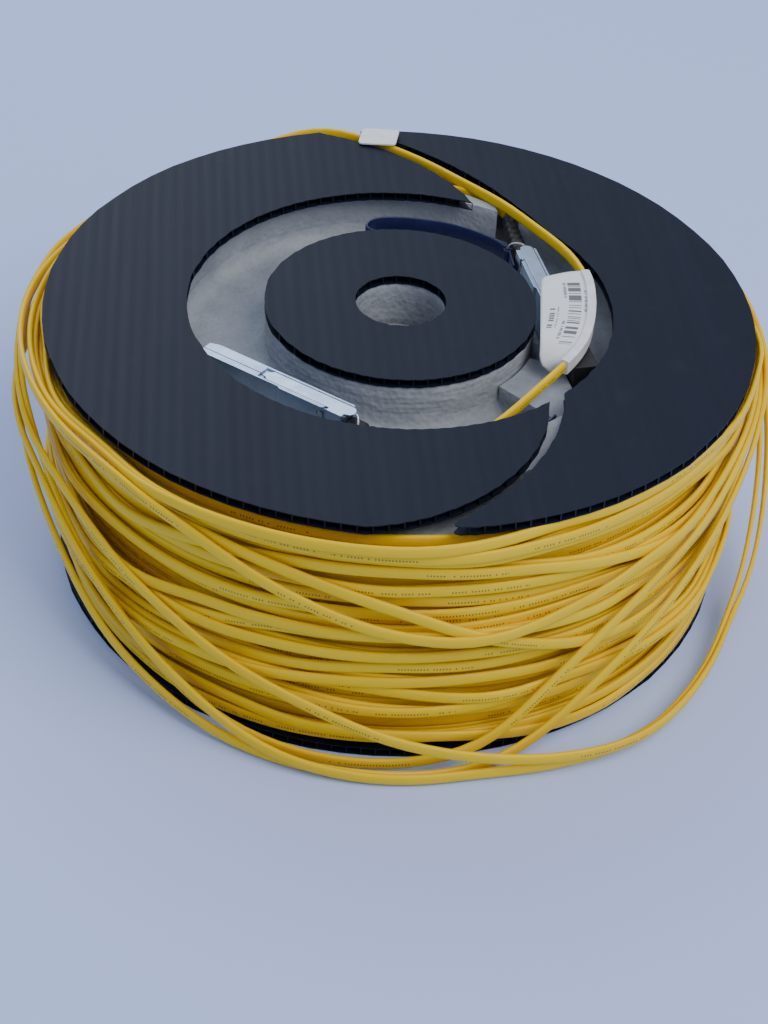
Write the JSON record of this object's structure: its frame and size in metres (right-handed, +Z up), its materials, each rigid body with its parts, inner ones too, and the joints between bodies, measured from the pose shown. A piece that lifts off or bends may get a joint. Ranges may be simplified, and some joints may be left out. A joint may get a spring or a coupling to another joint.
{
  "type": "fiber optic cable on a shipping reel",
  "caption": "Flat fiber optic cable with a latching plug module at each end, wound on a round reel of fluted board and foam with a storage channel and an arbor bore.",
  "frame": {"origin": "centre of the reel's underside, on its arbor axis", "axes": "+Z up along the arbor axis, +X towards the module with the dust cap, -Y towards the narrow slit of the upper board"},
  "size_m": [0.3296, 0.3173, 0.1226],
  "materials": {
    "board": "extruded fluted board, semi-matt",
    "foam": "expanded foam, matt",
    "jacket": "smooth cable jacket, satin",
    "label": "coated label film",
    "shell": "die cast, fine matt plating",
    "sheet_metal": "stamped sheet, satin",
    "spring_wire": "bright drawn wire",
    "boot_rubber": "moulded, matt",
    "strap": "flexible strap, satin",
    "laminate": "circuit board laminate",
    "moulded_black": "moulded, matt"
  },
  "bodies": {
    "reel": {"lower_flange": "board", "upper_flange_right": "board", "upper_flange_left": "board", "middle_disc": "board", "foam_core": "foam", "foam_hub": "foam", "foam_ring": "foam", "cable_winding": "jacket", "loose_turn_low": "jacket", "loose_turn_high": "jacket", "loose_turn_side": "jacket", "lead_a": "jacket", "lead_b": "jacket", "flag_label": "label", "tag_label": "label", "module_a_housing_base": "shell", "module_a_housing_cover": "shell", "module_a_cover_screw_1": "sheet_metal", "module_a_cover_screw_2": "sheet_metal", "module_a_circuit_board": "laminate", "module_a_optical_engine": "moulded_black", "module_a_fiber_ferrule": "moulded_black", "module_a_fiber_ribbon": "jacket", "module_a_crimp_sleeve": "sheet_metal", "module_a_boot": "boot_rubber", "module_a_return_spring_1": "spring_wire", "module_a_return_spring_2": "spring_wire", "module_b_housing_base": "shell", "module_b_housing_cover": "shell", "module_b_cover_screw_1": "sheet_metal", "module_b_cover_screw_2": "sheet_metal", "module_b_circuit_board": "laminate", "module_b_optical_engine": "moulded_black", "module_b_fiber_ferrule": "moulded_black", "module_b_fiber_ribbon": "jacket", "module_b_crimp_sleeve": "sheet_metal", "module_b_boot": "boot_rubber", "module_b_return_spring_1": "spring_wire", "module_b_return_spring_2": "spring_wire", "module_a_dust_cap": "boot_rubber"},
    "slider_a": {"module_a_latch_slider": "sheet_metal", "module_a_bail_wire": "spring_wire", "module_a_pull_tab": "strap"},
    "slider_b": {"module_b_latch_slider": "sheet_metal", "module_b_bail_wire": "spring_wire", "module_b_pull_tab": "strap"}
  },
  "joints": [
    {"name": "slide_a", "type": "slide", "parent": "reel", "child": "slider_a", "axis": [-0.2419, 0.9703, 0], "range_m": [0, 0.002], "stiffness_N_per_m": 600},
    {"name": "slide_b", "type": "slide", "parent": "reel", "child": "slider_b", "axis": [0.8462, -0.5329, 0], "range_m": [0, 0.002], "stiffness_N_per_m": 600}
  ]
}
